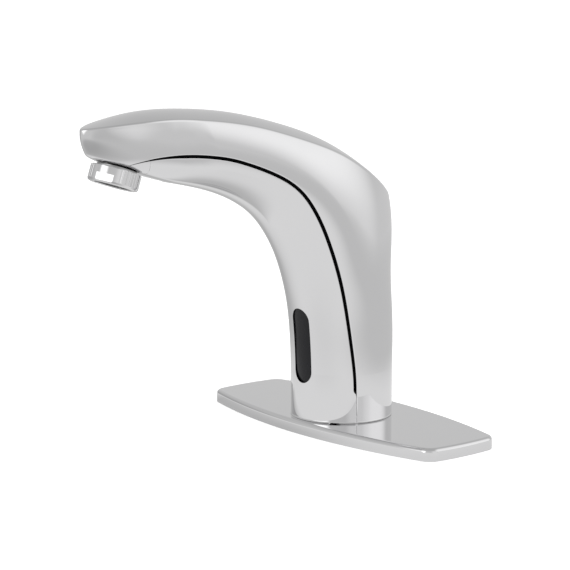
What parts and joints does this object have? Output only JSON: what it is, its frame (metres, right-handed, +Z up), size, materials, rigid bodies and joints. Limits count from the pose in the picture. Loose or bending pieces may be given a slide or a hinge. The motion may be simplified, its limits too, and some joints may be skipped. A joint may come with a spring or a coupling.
{
  "type": "sensor tap",
  "caption": "Hands-free basin tap: curved chrome spout rising from a boat-shaped deck plate, dark sensor window in the column, tilted screw-in aerator at the nose.",
  "frame": {"origin": "on the column's axis at the underside of the deck plate, centre of the inlet's mouth", "axes": "+Z up the column; the spout reaches along -Y; X across the deck plate, the object is symmetric about X = 0"},
  "size_m": [0.1672, 0.1879, 0.1619],
  "materials": {
    "battery_wrap": "shrink-wrapped lithium pack",
    "black_plastic": "moulded nylon",
    "black_rubber": "matte black nitrile rubber",
    "blue_plastic": "moulded acetal",
    "board_green": "circuit board",
    "bobbin_plastic": "glass-filled nylon",
    "brass": "machined brass",
    "brass_chromed": "satin chrome over brass",
    "chip_black": "moulded package",
    "chrome_body": "mirror-polished chrome plating on cast brass",
    "chrome_cover": "mirror-polished chrome plating",
    "chrome_plate": "mirror-polished chrome plating",
    "chrome_ring": "bright chrome plating, finely fluted",
    "clear_lens": "tinted clear epoxy",
    "clear_tube": "moulded tube",
    "contact_nickel": "nickel-plated contact",
    "copper_wire": "enamelled copper wire",
    "dark_lens": "infrared-filter epoxy",
    "dark_window": "smoked gloss plastic, passes infrared",
    "filter_plastic": "moulded filter thimble",
    "foam": "closed-cell foam",
    "grey_plastic": "moulded acetal",
    "lead_black": "sheathed lead",
    "red_lens": "red epoxy",
    "spring_steel": "stainless spring wire",
    "steel_mesh": "stainless mesh",
    "steel_screw": "stainless steel",
    "steel_tube": "ground stainless steel",
    "valve_plastic": "glass-filled nylon",
    "white_plastic": "moulded acetal",
    "zinc_steel": "zinc-plated steel sheet"
  },
  "bodies": {
    "tap": {"body_shell": "chrome_body", "front_cover": "chrome_cover", "seam_seal": "black_rubber", "sensor_window": "dark_window", "window_gasket": "black_rubber", "deck_plate": "chrome_plate", "deck_gasket": "foam", "base_seal": "black_rubber", "base_block": "brass", "base_screws": "steel_screw", "inlet_filter": "filter_plastic", "check_valve_body": "white_plastic", "cartridge_oring": "black_rubber", "check_spring": "spring_steel", "valve_body": "valve_plastic", "armature_tube": "steel_tube", "bonnet_screws": "steel_screw", "plunger_spring": "spring_steel", "coil_bobbin": "bobbin_plastic", "coil_winding": "copper_wire", "coil_yoke": "zinc_steel", "outlet_nipple": "brass_chromed", "outlet_orings": "black_rubber", "outlet_tube": "clear_tube", "sensor_housing": "black_plastic", "sensor_board": "board_green", "ir_emitter": "clear_lens", "ir_receiver": "dark_lens", "status_led": "red_lens", "control_chips": "chip_black", "sensor_bracket": "zinc_steel", "bracket_screws": "steel_screw", "battery_pack": "battery_wrap", "battery_tray": "black_plastic", "battery_contacts": "contact_nickel", "battery_lead": "lead_black"},
    "aerator_core": {"aerator_insert": "grey_plastic", "aerator_gasket": "black_rubber", "aerator_mesh": "steel_mesh", "aerator_screen": "steel_mesh"},
    "aerator_ring": {"aerator_ring": "chrome_ring"},
    "plunger": {"plunger": "steel_tube", "plunger_pad": "black_rubber"},
    "piston": {"valve_piston": "white_plastic", "piston_seal": "black_rubber"},
    "check_poppet": {"check_poppet": "blue_plastic"}
  },
  "joints": [
    {"name": "aerator_pull", "type": "slide", "parent": "tap", "child": "aerator_core", "axis": [0, -0.3256, -0.9455], "range_m": [0, 0.004]},
    {"name": "aerator_turn", "type": "hinge", "parent": "aerator_core", "child": "aerator_ring", "pos_m": [0, -0.1344, 0.1292], "axis": [0, -0.3256, -0.9455], "range_deg": [0, 1440]},
    {"name": "plunger_lift", "type": "slide", "parent": "tap", "child": "plunger", "axis": [0, 0, 1], "range_m": [0, 0.002], "stiffness_N_per_m": 600, "springref_m": -0.004, "deforming": ["plunger_spring"]},
    {"name": "piston_lift", "type": "slide", "parent": "tap", "child": "piston", "axis": [0, 0, 1], "range_m": [0, 0.0016]},
    {"name": "check_lift", "type": "slide", "parent": "tap", "child": "check_poppet", "axis": [0, 0, 1], "range_m": [0, 0.002], "stiffness_N_per_m": 200, "springref_m": -0.003, "deforming": ["check_spring"]}
  ],
  "couplings": [
    {"joint": "aerator_turn", "follows": "aerator_pull", "rad_per_m": 6283.2},
    {"joint": "piston_lift", "follows": "plunger_lift", "ratio": 0.8}
  ]
}
